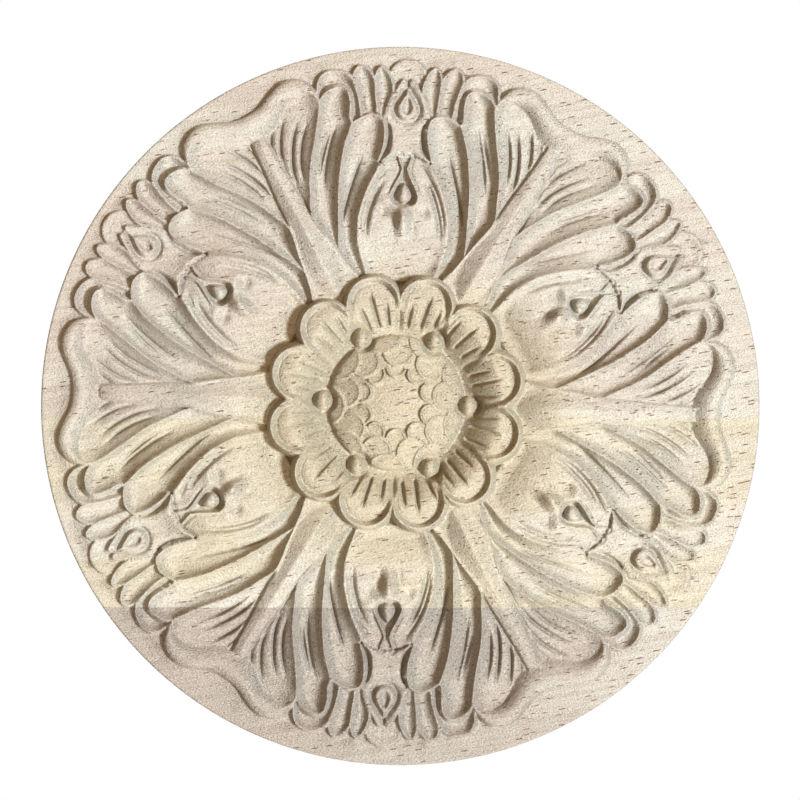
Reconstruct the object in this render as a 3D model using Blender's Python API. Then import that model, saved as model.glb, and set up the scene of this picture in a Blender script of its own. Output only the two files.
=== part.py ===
# Round carved wood applique: six acanthus leaves round a twelve-petalled flower, cut into one board.
# The back lies flat in the plane Y = 0, the carving faces -Y, and the origin is the centre of the back.

import math

import bpy
import numpy as np

MM = 0.001

# Driving dimensions, in millimetres
DISC_RADIUS = 150.0
GROUND_LEVEL = 8.6
# The heights below are multiplied by this
RELIEF_DEPTH = 1.28
LEAF_COUNT = 6
PATTERN_SHIFT_X = -1.8
PATTERN_SHIFT_Z = 1.2
PATTERN_TURN = math.radians(-2.2)
PATTERN_RADIUS = 144.6
SECTOR = math.pi / LEAF_COUNT

# Slopes of the carved walls, as rise over run
OUTER_WALL = 1.4
LIP_WALL = 1.5
NECK_WALL = 1.9
FLOWER_WALL = 2.2
POCKET_WALL = 1.5

# How far the lip of a leaf rises from its rim, how broadly it is rounded and how late it falls to the crease
LIP_CROWN = 1.2
LIP_ROUND = 2.2
LIP_BEND = 2.6

# Reach of a ridge and of the lip's crease over the floor of the leaf
RIDGE_REACH = 2.4
CREASE_REACH = 3.0

# Drop at the neck's sides, and the groove between the neck and the tongue under it
NECK_DROP = 2.2
NECK_GROOVE_DEPTH = 0.8
NECK_GROOVE_WIDTH = 0.8
NECK_GROOVE_FLOOR = 0.4

# The eye between two leaves
POCKET_FLOOR = 1.7
EYE_BEAD_RISE = 2.9

# Petals, each a circle on a ring
PETAL_RING = 42.1
PETAL_RADIUS = 12.2
PETAL_RIM_RISE = 2.0
PETAL_GROOVES = (-7.5, 0.0, 7.5)

# Centre boss, its rows of scales and the beads round it
BOSS_RADIUS = 27.8
BOSS_TOP = 3.4
BOSS_DROP = 4.3
BOSS_WALL = 1.8
BEAD_RING = 30.5
BEAD_RADIUS = 4.4
BEAD_BASE = -2.2
BEAD_RISE = 2.9

# Faces
SECTOR_STEPS = 48
RING_STEP = 0.75
EDGE_SHARE = 4
KEPT_FACES = 9500

# Curves of one half leaf: points across the leaf axis and along it, then the height over the ground
RIDGE_ONE = ((8.2, 66.0, 4.4), (7.2, 73.4, 4.8), (6.0, 79.5, 5.0), (5.4, 85.7, 4.7), (8.4, 92.0, 4.0),
             (12.2, 99.8, 3.4), (16.2, 106.1, 3.0), (21.8, 113.3, 2.7), (26.9, 120.3, 2.5),
             (30.4, 125.6, 2.2))
RIDGE_TWO = ((11.0, 54.0, 3.0), (9.6, 58.0, 3.6), (8.8, 62.0, 4.2), (8.4, 66.2, 4.4), (10.1, 70.2, 4.3),
             (12.1, 74.1, 4.1), (15.1, 79.9, 4.0), (20.0, 89.1, 4.0), (25.1, 97.0, 3.8),
             (31.2, 104.9, 3.4), (38.4, 111.8, 2.4))
RIDGE_TWO_FORK = 3
LOBE_ONE_TIP = ((0.0, 134.8, 0.9), (4.0, 135.1, 0.9), (8.0, 136.1, 1.0), (12.0, 137.8, 1.2),
                (16.0, 139.4, 1.3), (20.0, 140.2, 1.3), (24.0, 139.4, 1.3), (27.6, 137.0, 1.4),
                (29.6, 133.6, 1.6), (30.4, 129.5, 1.9), (30.4, 125.6, 2.2))
LIP_CREASE = ((0.0, 123.8, -0.2), (3.0, 123.8, -0.4), (4.4, 123.9, -0.9), (8.2, 124.8, -0.9),
              (12.0, 127.4, -0.8), (15.0, 129.6, -0.6), (18.5, 131.3, -0.4), (24.0, 131.9, 0.2),
              (28.0, 130.4, 1.0), (30.4, 126.4, 2.2))

# Curves of one half gap: points across the axis between two leaves and along it, then the height
LOBE_TWO_TIP = ((36.8, 124.0, 2.2), (35.7, 126.5, 2.2), (33.6, 128.8, 2.1), (30.5, 130.4, 2.1),
                (27.4, 130.8, 2.3), (25.2, 129.4, 2.6), (24.2, 126.8, 2.8), (23.7, 123.0, 2.8),
                (23.7, 119.0, 2.6), (22.7, 116.0, 2.4))
LOBE_THREE_TIP = ((22.7, 116.0, 2.4), (21.1, 117.2, 2.3), (18.9, 118.6, 2.3), (15.8, 119.8, 2.4),
                  (12.7, 119.6, 2.5), (10.4, 118.4, 2.6), (9.3, 115.8, 2.7), (8.9, 111.5, 2.8),
                  (9.2, 108.0, 2.9), (9.9, 104.8, 3.0), (10.8, 101.3, 3.1))
EYE_RIM = ((10.6, 99.6, 3.2), (12.1, 96.0, 3.8), (14.8, 90.5, 4.3), (16.3, 86.5, 4.3), (17.6, 82.3, 4.2),
           (18.7, 77.0, 4.1), (19.0, 72.0, 4.0), (18.7, 67.0, 3.9), (17.6, 62.0, 3.5), (16.0, 57.5, 3.0),
           (14.6, 53.0, 2.4))
EYE_GROOVE = ((8.6, 92.5, 0.2), (10.4, 90.0, 1.0), (12.0, 86.5, 1.3), (13.3, 83.0, 1.3),
              (14.3, 79.5, 1.3), (15.1, 75.5, 1.2), (15.4, 71.5, 0.7), (15.3, 68.0, 0.1))
EYE_OPENING = ((2.3, 102.9, 2.2), (2.1, 101.6, 2.5), (1.4, 99.8, 2.8), (0.8, 97.8, 3.1),
               (1.1, 96.0, 3.4), (2.1, 93.6, 3.8), (3.9, 90.1, 4.1), (5.2, 87.0, 4.2), (5.4, 85.2, 4.2),
               (4.6, 83.2, 4.3), (2.8, 82.0, 4.4), (0.0, 81.6, 4.5))
CENTRE_LOBE = ((0.0, 143.4, 0.9), (3.0, 142.8, 0.9), (5.8, 141.0, 0.9), (7.6, 137.8, 0.9),
               (8.2, 134.0, 0.9), (8.2, 130.0, 0.9))
CURL_LOBE = ((37.2, 124.5, 2.0), (37.9, 129.0, 1.7), (37.8, 132.0, 1.6), (36.6, 135.0, 1.5),
             (34.0, 136.9, 1.5), (30.5, 137.5, 1.6), (27.0, 137.0, 1.7), (24.2, 135.4, 1.9),
             (22.7, 132.8, 2.1), (21.4, 129.5, 2.3), (20.2, 125.5, 2.3), (19.4, 121.0, 2.1),
             (19.0, 117.0, 1.9))
BACK_LOBE_TWO = ((22.7, 132.8, 2.1), (23.0, 136.0, 1.6), (22.4, 138.2, 1.5), (21.0, 139.7, 1.5),
                 (19.4, 139.9, 1.5), (17.4, 139.0, 1.6), (15.4, 136.9, 1.8), (14.1, 134.0, 2.0),
                 (13.6, 130.0, 2.2), (13.2, 126.5, 2.1), (12.7, 123.0, 2.0), (12.2, 118.0, 1.8))
BACK_LOBE_ONE = ((13.6, 132.0, 2.1), (13.9, 134.8, 1.8), (13.4, 137.6, 1.6), (12.4, 139.5, 1.5),
                 (11.2, 140.0, 1.5), (9.6, 139.0, 1.6), (8.2, 137.2, 1.7), (7.0, 134.6, 1.9),
                 (6.3, 132.0, 2.1), (6.3, 129.5, 2.1), (7.0, 127.0, 2.1), (8.0, 124.5, 2.0),
                 (8.9, 121.5, 1.9), (9.4, 118.0, 1.8))
DROP_EDGE = ((0.0, 116.9, 0.0), (3.3, 118.1, 0.0), (5.2, 121.2, 0.0), (4.9, 124.4, 0.0),
             (3.2, 127.4, 0.0), (1.4, 130.0, 0.0), (0.0, 132.4, 0.0))
DROP_HEART = ((0.0, 121.2, 0.0), (1.0, 122.4, 0.0), (0.9, 124.2, 0.0), (0.0, 126.6, 0.0))
BEAD_EDGE = ((0.0, 83.2, 0.0), (2.3, 84.1, 0.0), (3.2, 86.4, 0.0), (2.5, 88.7, 0.0), (1.1, 90.6, 0.0),
             (0.0, 91.8, 0.0))
FINGER = ((0.5, 132.0, 1.6), (1.0, 133.9, 1.6), (2.0, 134.7, 1.6), (3.1, 133.5, 1.7), (4.5, 130.9, 1.9),
          (6.0, 127.9, 1.9), (7.2, 124.8, 1.7), (8.4, 121.0, 1.5), (9.2, 117.0, 1.2))
NECK_EDGE = ((0.0, 102.9, 0.0), (2.6, 103.0, 0.0), (4.6, 102.7, 0.0), (6.6, 102.0, 0.0),
             (8.4, 101.1, 0.0), (10.2, 100.1, 0.0))

# Heights along an axis: (distance from the centre, height over the ground)
STEM_CREST = ((50, 2.6), (52, 3.3), (56, 4.5), (60, 5.4), (64, 6.0), (70, 6.3), (80, 5.7), (86, 4.9),
              (90, 4.3), (94, 3.7), (100, 3.0), (106, 2.4), (112, 1.9), (118, 1.3), (124, 0.3),
              (128, 0.0))
STEM_HALF_WIDTH = ((50, 13.0), (58, 10.5), (67, 8.2), (80, 5.8), (86, 5.0), (100, 4.1), (110, 3.4),
                   (124, 2.8), (130, 2.6))
LEAF_FLOOR = ((50, 2.4), (60, 3.0), (70, 3.2), (80, 2.8), (90, 2.0), (100, 1.4), (110, 0.8), (118, 0.3),
              (124, -0.1), (134, -0.1))
GAP_BODY = ((50, 1.0), (56, 1.5), (60, 2.5), (66, 3.5), (72, 3.9), (80, 3.9), (88, 3.6), (94, 3.1),
            (99, 2.2), (103, 1.8))
NECK = ((98, 3.0), (101, 3.0), (103, 2.8), (106, 1.9), (110, 1.2), (114, 0.9), (118, 0.9), (122, 1.2),
        (136, 1.2))
NECK_HALF_WIDTH = ((98, 11.0), (101, 9.6), (103, 7.6), (106, 6.2), (112, 6.0), (116, 7.0), (119, 8.6),
                   (136, 9.0))
PETAL_PROFILE = ((28.0, -2.4), (29.5, -2.3), (32.0, -1.1), (35.0, 0.8), (38.0, 2.4), (41.0, 3.6),
                 (44.0, 4.2), (48.0, 3.9), (51.0, 3.4), (55.0, 3.2))

# Fine veins in the lobes: one curve each, with the height of its step
LOBE_VEINS = (
    ((3.6, 118.0, 0.0), (4.4, 120.5, 0.5), (6.6, 124.6, 0.5), (9.0, 127.4, 0.0)),
    ((4.8, 108.0, 0.0), (5.8, 114.0, 0.7), (8.4, 119.5, 0.7), (11.6, 124.6, 0.5), (14.0, 127.6, 0.0)),
    ((5.4, 98.0, 0.0), (7.4, 106.0, 0.8), (10.4, 112.6, 0.8), (14.4, 118.8, 0.6), (18.4, 123.6, 0.0)),
    ((8.6, 99.0, 0.0), (11.6, 107.0, 0.7), (15.2, 113.4, 0.7), (19.2, 118.4, 0.4), (22.4, 122.0, 0.0)),
    ((15.6, 98.6, 0.0), (20.0, 104.3, 0.5), (25.0, 109.8, 0.5), (30.0, 115.0, 0.0)),
    ((14.4, 92.0, 0.0), (19.1, 99.5, 0.6), (23.4, 105.2, 0.6), (28.4, 110.9, 0.5), (33.0, 115.6, 0.0)),
    ((13.8, 74.5, 0.0), (17.5, 80.0, 0.7), (23.0, 86.0, 0.7), (31.6, 94.5, 0.5), (37.0, 99.4, 0.0)),
)

# Rows of scales on the boss: radius of each arc's inmost point, radius of the arc, rise, first angle, count
SCALE_ROWS = (
    (21.3, 8.6, 0.35, 24.0, 9),
    (15.3, 6.4, 0.45, 10.0, 9),
    (10.6, 4.4, 0.75, 20.0, 10),
)

# Spacing of the steps along an edge that shapes a scoop
PULL_STEP = 0.3


def smooth_step(value, low, high):
    part = np.clip((value - low) / (high - low), 0.0, 1.0)
    return part * part * (3.0 - 2.0 * part)


def along_axis(distance, table):
    dense = smooth_curve([(station, height, 0.0) for station, height in table])
    return np.interp(distance, dense[:, 0], dense[:, 1])


def bump(across, along, centre_across, centre_along, width, length):
    return np.exp(-((across - centre_across) / width) ** 2 - ((along - centre_along) / length) ** 2)


def smooth_curve(points, steps=6):
    """A curve that runs smoothly through the points and keeps their heights."""
    known = np.array(points, float)
    known = np.vstack([2 * known[0] - known[1], known, 2 * known[-1] - known[-2]])
    part = np.linspace(0.0, 1.0, steps, endpoint=False)[:, None]
    spans = []
    for before, start, end, after in zip(known[:-3], known[1:-2], known[2:-1], known[3:]):
        linear = (end - before) * part
        square = (2 * before - 5 * start + 4 * end - after) * part ** 2
        cube = (3 * start - before - 3 * end + after) * part ** 3
        spans.append(0.5 * (2 * start + linear + square + cube))
    spans.append(known[-2:-1])
    return np.vstack(spans)


def to_leaf_frame(points):
    """Turns points given across and along the gap axis into points across and along the leaf axis."""
    turned = []
    for across, along, height in points:
        x = along * math.sin(SECTOR) - across * math.cos(SECTOR)
        y = along * math.cos(SECTOR) + across * math.sin(SECTOR)
        turned.append((x, y, height))
    return turned


def nearest(x, y, curve):
    """Distance to a curve, the curve's height there, and the side: +1 on its left, -1 on its right."""
    distance = np.full(x.shape, np.inf)
    height = np.zeros(x.shape)
    side = np.ones(x.shape)
    for (x0, y0, h0), (x1, y1, h1) in zip(curve[:-1], curve[1:]):
        run_x = x1 - x0
        run_y = y1 - y0
        part = ((x - x0) * run_x + (y - y0) * run_y) / (run_x ** 2 + run_y ** 2)
        part = np.clip(part, 0.0, 1.0)
        gap_x = x - x0 - part * run_x
        gap_y = y - y0 - part * run_y
        found = np.hypot(gap_x, gap_y)
        closer = found < distance
        distance = np.where(closer, found, distance)
        height = np.where(closer, h0 + part * (h1 - h0), height)
        side = np.where(closer, np.sign(run_x * gap_y - run_y * gap_x), side)
    return distance, height, side


def inside(x, y, corners):
    within = np.zeros(x.shape, bool)
    for (x0, y0), (x1, y1) in zip(corners, np.roll(corners, -1, axis=0)):
        if y0 == y1:
            continue
        crossing = (y0 > y) != (y1 > y)
        within ^= crossing & (x < x0 + (y - y0) * (x1 - x0) / (y1 - y0))
    return within


def outline(*runs):
    return np.vstack([np.array(run, float)[:, :2] for run in runs])


def smooth_max(first, second, width):
    return 0.5 * (first + second + np.hypot(first - second, width))


def pull(x, y, curve):
    """How much a curve counts at each point, falling off smoothly, and that times the curve's height."""
    count = np.zeros(x.shape)
    lifted = np.zeros(x.shape)
    for (x0, y0, h0), (x1, y1, h1) in zip(curve[:-1], curve[1:]):
        length = math.hypot(x1 - x0, y1 - y0)
        parts = math.ceil(length / PULL_STEP)
        for index in range(parts):
            part = (index + 0.5) / parts
            gap_x = x - x0 - part * (x1 - x0)
            gap_y = y - y0 - part * (y1 - y0)
            share = length / parts / (gap_x ** 2 + gap_y ** 2 + PULL_STEP ** 2) ** 2
            count += share
            lifted += share * (h0 + part * (h1 - h0))
    return count, lifted


def edge_distance(x, y, curve):
    """Beside a long straight edge this is the distance to it, and round a bend it changes smoothly."""
    count, lifted = pull(x, y, curve)
    return pull_distance(count), lifted / count


def pull_distance(count):
    return np.sqrt(np.clip((0.5 * math.pi / count) ** (2 / 3) - PULL_STEP ** 2, 0.0, None))


def scoop(x, y, edges, depth):
    """A hollow that starts at its edges' heights, falls off them at their slopes and has a flat floor."""
    weight = 0.0
    level = 0.0
    steepness = 0.0
    for curve, slope in edges:
        count, lifted = pull(x, y, curve)
        weight = weight + count
        level = level + lifted
        steepness = steepness + count * slope
    return level / weight - depth * np.tanh(steepness / weight * pull_distance(weight) / depth)


def lay_over(below, surface, within, distance, rim_height, wall):
    """Lays a raised form over what lies below, with a sloping wall outside its edge."""
    walled = np.maximum(below, rim_height - wall * distance)
    return np.where(within, surface, walled)


def vein_relief(x, y):
    """Low steps along the veins: raised on one side of the line and sunk on the other."""
    total = np.zeros(x.shape)
    width = 1.0
    for points in LOBE_VEINS:
        distance, rise, side = nearest(x, y, smooth_curve(points))
        across = side * distance / width
        total += rise * across * np.exp(0.5 - 0.5 * across ** 2)
    return total


def stem_surface(x, y):
    crest = along_axis(y, STEM_CREST)
    half_width = along_axis(y, STEM_HALF_WIDTH)
    flank = 0.3 - 0.08 * smooth_step(y, 80.0, 96.0)
    beyond = np.clip(np.abs(x) - half_width, 0.0, None)
    surface = crest - flank * (np.hypot(x, 0.7) - 0.7) - 1.2 * beyond
    return np.where(y > 127.0, -10.0, surface)


def back_leaf_surface(x, y, across, along):
    """The small leaf that shows behind and between two main leaves, over the flat ground."""
    height = np.zeros(x.shape)

    edge = smooth_curve(to_leaf_frame(CENTRE_LOBE))
    distance, rim, _ = nearest(x, y, edge)
    within = inside(x, y, outline(edge, to_leaf_frame([(-3, 130, 0), (-3, 143.4, 0)])))
    height = lay_over(height, rim - 0.5 * np.tanh(distance / 2.5), within, distance, rim, OUTER_WALL)

    hidden = to_leaf_frame([(18, 112, 0), (34, 112, 0)])
    edge = smooth_curve(to_leaf_frame(CURL_LOBE))
    distance, rim, _ = nearest(x, y, edge)
    within = inside(x, y, outline(edge, hidden))
    height = lay_over(height, scoop(x, y, [(edge, 1.0)], 2.4), within, distance, rim, OUTER_WALL)
    curl_edge = edge

    edge = smooth_curve(to_leaf_frame(BACK_LOBE_TWO))
    distance, rim, _ = nearest(x, y, edge)
    corners = outline(edge, to_leaf_frame([(14, 112, 0), (18, 112, 0), (19, 117, 0), (19.4, 121, 0),
                                           (20.2, 125.5, 0), (21.4, 129.5, 0)]))
    within = inside(x, y, corners)
    surface = scoop(x, y, [(edge, 1.1), (curl_edge, 0.9)], 1.9)
    height = lay_over(height, surface, within, distance, rim, OUTER_WALL)
    second_edge = edge

    edge = smooth_curve(to_leaf_frame(BACK_LOBE_ONE))
    distance, rim, _ = nearest(x, y, edge)
    corners = outline(edge, to_leaf_frame([(10, 112, 0), (12, 112, 0), (12.2, 118, 0), (12.7, 123, 0),
                                           (13.2, 126.5, 0)]))
    within = inside(x, y, corners)
    surface = scoop(x, y, [(edge, 1.1), (second_edge, 0.9)], 1.8)
    height = lay_over(height, surface, within, distance, rim, OUTER_WALL)

    edge = smooth_curve(to_leaf_frame(FINGER))
    distance, rim, _ = nearest(x, y, edge)
    corners = outline(edge, to_leaf_frame([(10.5, 100, 0), (-3, 98, 0), (-3, 131, 0), (0, 131.5, 0)]))
    within = inside(x, y, corners)
    centre = along_axis(along, NECK)
    edge_rise = (rim - centre) * np.exp(-distance / 1.6) * smooth_step(along, 112.0, 120.0)
    beyond = np.abs(across) - along_axis(along, NECK_HALF_WIDTH)
    surface = centre + edge_rise + 0.006 * across ** 2 - NECK_DROP * smooth_step(beyond, -0.5, 1.5)
    height = lay_over(height, surface, within, distance, rim, OUTER_WALL)
    return height + teardrop_relief(x, y)


def teardrop_relief(x, y):
    """A drop with a hollow heart, ringed by a groove and drawn out to a point away from the centre."""
    edge = smooth_curve(to_leaf_frame(DROP_EDGE))
    distance, _, _ = nearest(x, y, edge)
    within = inside(x, y, outline(edge, to_leaf_frame([(-3, 133, 0), (-3, 116, 0)])))
    inward = np.where(within, distance, -distance)
    heart = smooth_curve(to_leaf_frame(DROP_HEART))
    heart_distance, _, _ = nearest(x, y, heart)
    in_heart = inside(x, y, outline(heart, to_leaf_frame([(-3, 126.6, 0), (-3, 121, 0)])))
    heart_distance = np.where(in_heart, 0.0, heart_distance)
    groove = -0.9 * np.exp(-(inward / 0.9) ** 2)
    ring = 0.9 * smooth_step(inward, 0.2, 2.0)
    return groove + ring - 1.0 * np.exp(-(heart_distance / 0.8) ** 2)


def eye_surface(x, y, across, along, rim_edge):
    """The broad tongue between two leaves, with its rim, groove, nose and dents."""
    distance, rim, _ = nearest(x, y, rim_edge)
    body = along_axis(along, GAP_BODY)
    surface = body + (rim - body) * np.exp(-(distance / 2.6) ** 2)
    groove_distance, groove_depth, _ = nearest(x, y, smooth_curve(to_leaf_frame(EYE_GROOVE)))
    surface -= groove_depth * np.exp(-(groove_distance / 1.1) ** 2)
    surface += 3.0 * bump(across, along, 0.0, 76.6, 3.1, 4.9)
    surface += 0.6 * bump(across, along, 7.4, 84.0, 2.4, 1.9)
    surface -= 0.9 * bump(across, along, 8.4, 79.4, 2.3, 2.1)
    surface -= 0.7 * bump(across, along, 3.8, 73.5, 1.7, 4.3)
    return surface


def eye_pocket(x, y, along, surface):
    """The opening of the eye and its slit, sunk into the tongue, with a bead in it."""
    edge = smooth_curve(to_leaf_frame(EYE_OPENING))
    distance, rim, _ = nearest(x, y, edge)
    within = inside(x, y, outline(edge, to_leaf_frame([(-3, 81.6, 0), (-3, 102.9, 0)])))
    sunk = np.maximum(POCKET_FLOOR, np.minimum(surface, rim) - POCKET_WALL * distance)
    surface = surface + np.clip(rim - surface, 0.0, 1.0) * np.exp(-(distance / 1.4) ** 2)
    surface = np.where(within, sunk, surface)
    bead_edge = smooth_curve(to_leaf_frame(BEAD_EDGE))
    distance, _, _ = nearest(x, y, bead_edge)
    within = inside(x, y, outline(bead_edge, to_leaf_frame([(-3, 91.8, 0), (-3, 83.2, 0)])))
    from_middle = 1.0 - np.clip(distance / EYE_BEAD_RISE, 0.0, 1.0)
    bead = POCKET_FLOOR - 0.2 + EYE_BEAD_RISE * np.sqrt(1.0 - from_middle ** 2)
    return np.where(within, np.maximum(surface, bead), surface)


def leaf_surface(x, y, across, along):
    """Everything between the flower and the ground in one half leaf and half gap."""
    ridge_one = smooth_curve(RIDGE_ONE)
    ridge_two = smooth_curve(RIDGE_TWO)
    ridge_two_upper = smooth_curve(RIDGE_TWO[RIDGE_TWO_FORK:])
    ridge_two_lower = smooth_curve(RIDGE_TWO[:RIDGE_TWO_FORK + 1])
    tip_one = smooth_curve(LOBE_ONE_TIP)
    tip_two = smooth_curve(to_leaf_frame(LOBE_TWO_TIP))
    tip_three = smooth_curve(to_leaf_frame(LOBE_THREE_TIP))
    eye_rim = smooth_curve(to_leaf_frame(EYE_RIM))

    in_one = inside(x, y, outline([(-3, 40, 0), (12, 50, 0)], ridge_two_lower, ridge_one, tip_one[::-1],
                                  [(-3, 134.8, 0)]))
    in_two = inside(x, y, outline(ridge_one, tip_two, ridge_two_upper[::-1]))
    in_three = inside(x, y, outline(ridge_two, tip_three, eye_rim))
    neck_edge = smooth_curve(to_leaf_frame(NECK_EDGE))
    in_eye = inside(x, y, outline(eye_rim, to_leaf_frame([(-3, 50, 0), (-3, 102.9, 0)]), neck_edge))

    crease = smooth_curve(LIP_CREASE)
    tip_distance, tip_rim = edge_distance(x, y, tip_one)
    crease_distance, crease_level = edge_distance(x, y, crease)
    ridge_distance, ridge_level = edge_distance(x, y, np.vstack([ridge_two_lower[:-1], ridge_one]))
    floor = along_axis(y, LEAF_FLOOR)
    floor = floor + (crease_level - floor) * np.exp(-crease_distance / CREASE_REACH)
    lobe_one = floor + (ridge_level - floor) * np.exp(-ridge_distance / RIDGE_REACH)
    crown = LIP_CROWN * (1.0 - np.exp(-tip_distance / LIP_ROUND))
    inward = (tip_distance / (tip_distance + crease_distance)) ** LIP_BEND
    lip = tip_rim + crown + (crease_level - tip_rim - crown) * inward
    in_lip = inside(x, y, outline(tip_one, crease[::-1]))
    lobe_two = scoop(x, y, [(ridge_one, 1.35), (tip_two, 1.05), (ridge_two_upper, 0.9)], 2.9)
    lobe_three = scoop(x, y, [(ridge_two, 1.35), (tip_three, 1.05), (eye_rim, 0.9)], 2.9)
    veins = vein_relief(x, y)

    height = back_leaf_surface(x, y, across, along)
    for edge, wall in ((tip_one, LIP_WALL), (tip_two, OUTER_WALL), (tip_three, NECK_WALL)):
        distance, rim, _ = nearest(x, y, edge)
        height = np.maximum(height, rim - wall * distance)
    height = np.where(in_eye, eye_surface(x, y, across, along, eye_rim), height)
    height = np.where(in_three, lobe_three + veins, height)
    height = np.where(in_two, lobe_two + veins, height)
    leaf_floor = smooth_max(lobe_one + veins, stem_surface(x, y), 0.4)
    height = np.where(in_one, np.where(in_lip, lip, leaf_floor), height)
    height = eye_pocket(x, y, along, height)
    neck_distance, _, _ = nearest(x, y, neck_edge)
    groove = NECK_GROOVE_DEPTH * np.exp(-(neck_distance / NECK_GROOVE_WIDTH) ** 2)
    cut = np.maximum(height - groove, np.minimum(height, NECK_GROOVE_FLOOR))
    return np.where(in_one | in_two | in_three, height, cut)


def petal_surface(radius, fold):
    """One petal, with its rim, its three cut strokes and the crease to the next petal."""
    from_middle = fold - SECTOR / 2
    across = radius * np.sin(from_middle)
    along = radius * np.cos(from_middle)
    inward = PETAL_RADIUS - np.hypot(across, along - PETAL_RING)
    surface = along_axis(radius, PETAL_PROFILE)
    rim = PETAL_RIM_RISE * np.exp(-((inward - 1.2) / 1.25) ** 2)
    surface = surface + rim * smooth_step(radius, 36.0, 43.0)
    to_crease = radius * np.sin(np.minimum(fold, SECTOR - fold))
    crease_reach = smooth_step(radius, 29.0, 34.0) * smooth_step(-radius, -46.5, -43.5)
    surface -= 1.1 * np.exp(-(to_crease / 1.3) ** 2) * crease_reach
    for turn in PETAL_GROOVES:
        side = radius * np.sin(from_middle - math.radians(turn))
        reach = smooth_step(radius, 32.0, 35.0) * smooth_step(-radius, -47.0 + 0.2 * abs(turn), -41.0)
        surface -= 1.0 * np.exp(-(side / 0.75) ** 2) * reach
    return surface, inward


def flower_over(radius, fold, height):
    surface, inward = petal_surface(radius, fold)
    within = (inward > 0.0) | (radius < PETAL_RING)
    walled = np.maximum(height, surface + FLOWER_WALL * inward)
    walled = np.where(radius < 62.0, walled, height)
    return np.where(within, surface, walled)


def boss_over(radius, angle, height):
    """The domed boss with rows of overlapping scales, and the six beads that stand round it."""
    dome = BOSS_TOP - BOSS_DROP * (radius / BOSS_RADIUS) ** 2
    x = radius * np.cos(angle)
    y = radius * np.sin(angle)
    for inmost, arc_radius, rise, first, count in SCALE_ROWS:
        depth = np.full(radius.shape, -100.0)
        for index in range(count):
            turn = math.radians(first + index * 360.0 / count)
            centre = inmost + arc_radius
            depth = np.maximum(depth, arc_radius - np.hypot(x - centre * math.cos(turn),
                                                            y - centre * math.sin(turn)))
        depth = np.where(radius > inmost + arc_radius, arc_radius, depth)
        edge_line = 0.7 * np.exp(-((depth - 0.5) / 0.6) ** 2)
        dome += rise * (edge_line + 0.6 * smooth_step(depth, -0.4, 0.3) - 0.6)
    dome -= BOSS_WALL * np.clip(radius - BOSS_RADIUS, 0.0, None)
    height = np.where(radius < PETAL_RING, smooth_max(dome, height, 0.4), height)
    for index in range(LEAF_COUNT):
        turn = index * math.tau / LEAF_COUNT
        reach = np.hypot(x - BEAD_RING * math.cos(turn), y - BEAD_RING * math.sin(turn)) / BEAD_RADIUS
        seat = smooth_step(-reach, -1.5, -0.9)
        height = height * (1.0 - seat) + BEAD_BASE * seat
        height += BEAD_RISE * np.clip(1.0 - reach ** 2, 0.0, None) ** 0.8
    return height


def relief_height(radius, angle):
    """Height of the carving over the ground. The angle is measured from the first leaf's axis."""
    fold = np.abs((angle + SECTOR) % (2 * SECTOR) - SECTOR)
    x = radius * np.sin(fold)
    y = radius * np.cos(fold)
    across = radius * np.sin(SECTOR - fold)
    along = radius * np.cos(SECTOR - fold)
    height = leaf_surface(x, y, across, along)
    return flower_over(radius, fold, height)


def carved_heights():
    """Heights on rings round the pattern's centre. One twelfth is worked out, then mirrored round."""
    radii = np.arange(RING_STEP, PATTERN_RADIUS, RING_STEP)
    turns = np.arange(SECTOR_STEPS + 1) * SECTOR / SECTOR_STEPS
    ring, turn = np.meshgrid(radii, turns, indexing="ij")
    twelfth = relief_height(ring, turn)
    leaf = np.hstack([twelfth, twelfth[:, -2:0:-1]])
    heights = np.tile(leaf, (1, LEAF_COUNT))
    angles = np.arange(heights.shape[1]) * SECTOR / SECTOR_STEPS
    ring, turn = np.meshgrid(radii, angles, indexing="ij")
    return ring, turn, RELIEF_DEPTH * boss_over(ring, turn, heights)


def disc_reach(angles):
    """Distance from the pattern's centre to the round edge of the board, along each direction."""
    toward = PATTERN_SHIFT_X * np.cos(angles) + PATTERN_SHIFT_Z * np.sin(angles)
    offset_squared = PATTERN_SHIFT_X ** 2 + PATTERN_SHIFT_Z ** 2
    return -toward + np.sqrt(toward ** 2 - offset_squared + DISC_RADIUS ** 2)


def points_at(radii, directions, levels):
    """Points (X, Y, Z) in metres at distances and directions from the pattern's centre."""
    x = PATTERN_SHIFT_X + radii * np.cos(directions)
    z = PATTERN_SHIFT_Z + radii * np.sin(directions)
    return (np.stack([x, -levels * np.ones_like(x), z], axis=-1) * MM).reshape(-1, 3).tolist()


def carving_faces(ring_count, around):
    faces = []
    for ring in range(ring_count - 1):
        for step in range(around):
            near = ring * around + step
            beside = ring * around + (step + 1) % around
            faces.append((near, near + around, beside + around, beside))
    return faces


def edge_faces(last_ring, front_edge, back_edge, around):
    """The flat border outside the carving, the side wall and the back."""
    faces = []
    edge_count = around // EDGE_SHARE
    for step in range(edge_count):
        beside = (step + 1) % edge_count
        inner = [last_ring + (step * EDGE_SHARE + part) % around for part in range(EDGE_SHARE + 1)]
        faces.append(inner[::-1] + [front_edge + step, front_edge + beside])
        faces.append((front_edge + step, back_edge + step, back_edge + beside, front_edge + beside))
    faces.append([back_edge + step for step in reversed(range(edge_count))])
    return faces


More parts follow.
